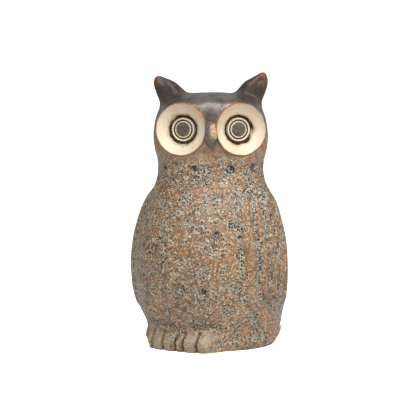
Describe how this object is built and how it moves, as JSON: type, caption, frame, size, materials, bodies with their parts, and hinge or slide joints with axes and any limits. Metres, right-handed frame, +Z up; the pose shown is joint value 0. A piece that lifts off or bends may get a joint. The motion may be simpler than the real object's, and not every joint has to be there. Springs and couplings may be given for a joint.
{
  "type": "owl figurine",
  "caption": "Standing stoneware owl with round concave eyes, pointed ears, fluted wings and a head turned to one side, hollow and made of luted clay pieces.",
  "frame": {"origin": "middle of the footprint of the bounding box, on the surface the owl stands on", "axes": "+Z up; the body, belly and feet face -Y; +X is the owl's own left, the side the head is turned towards"},
  "size_m": [0.1084, 0.112, 0.19],
  "materials": {
    "reactive_glaze": "speckled tan, brown and blue-grey reactive glaze, satin, pitted",
    "iron_glaze": "dark iron glaze with a bronze sheen",
    "cream_glaze": "cream satin glaze, thin and brown at the rims",
    "pupil_glaze": "dark grey-brown glaze, satin",
    "bare_clay": "unglazed buff stoneware, matt"
  },
  "bodies": {
    "root": {"body_shell": "reactive_glaze", "wing_left": "reactive_glaze", "wing_right": "reactive_glaze", "foot_left": "reactive_glaze", "foot_right": "reactive_glaze", "tail": "reactive_glaze", "head_shell": "iron_glaze", "ear_left": "iron_glaze", "ear_right": "iron_glaze", "beak": "iron_glaze", "eye_dish_left": "cream_glaze", "eye_dish_right": "cream_glaze", "iris_left": "cream_glaze", "iris_right": "cream_glaze", "pupil_left": "pupil_glaze", "pupil_right": "pupil_glaze", "floor_slab": "bare_clay"}
  },
  "joints": []
}
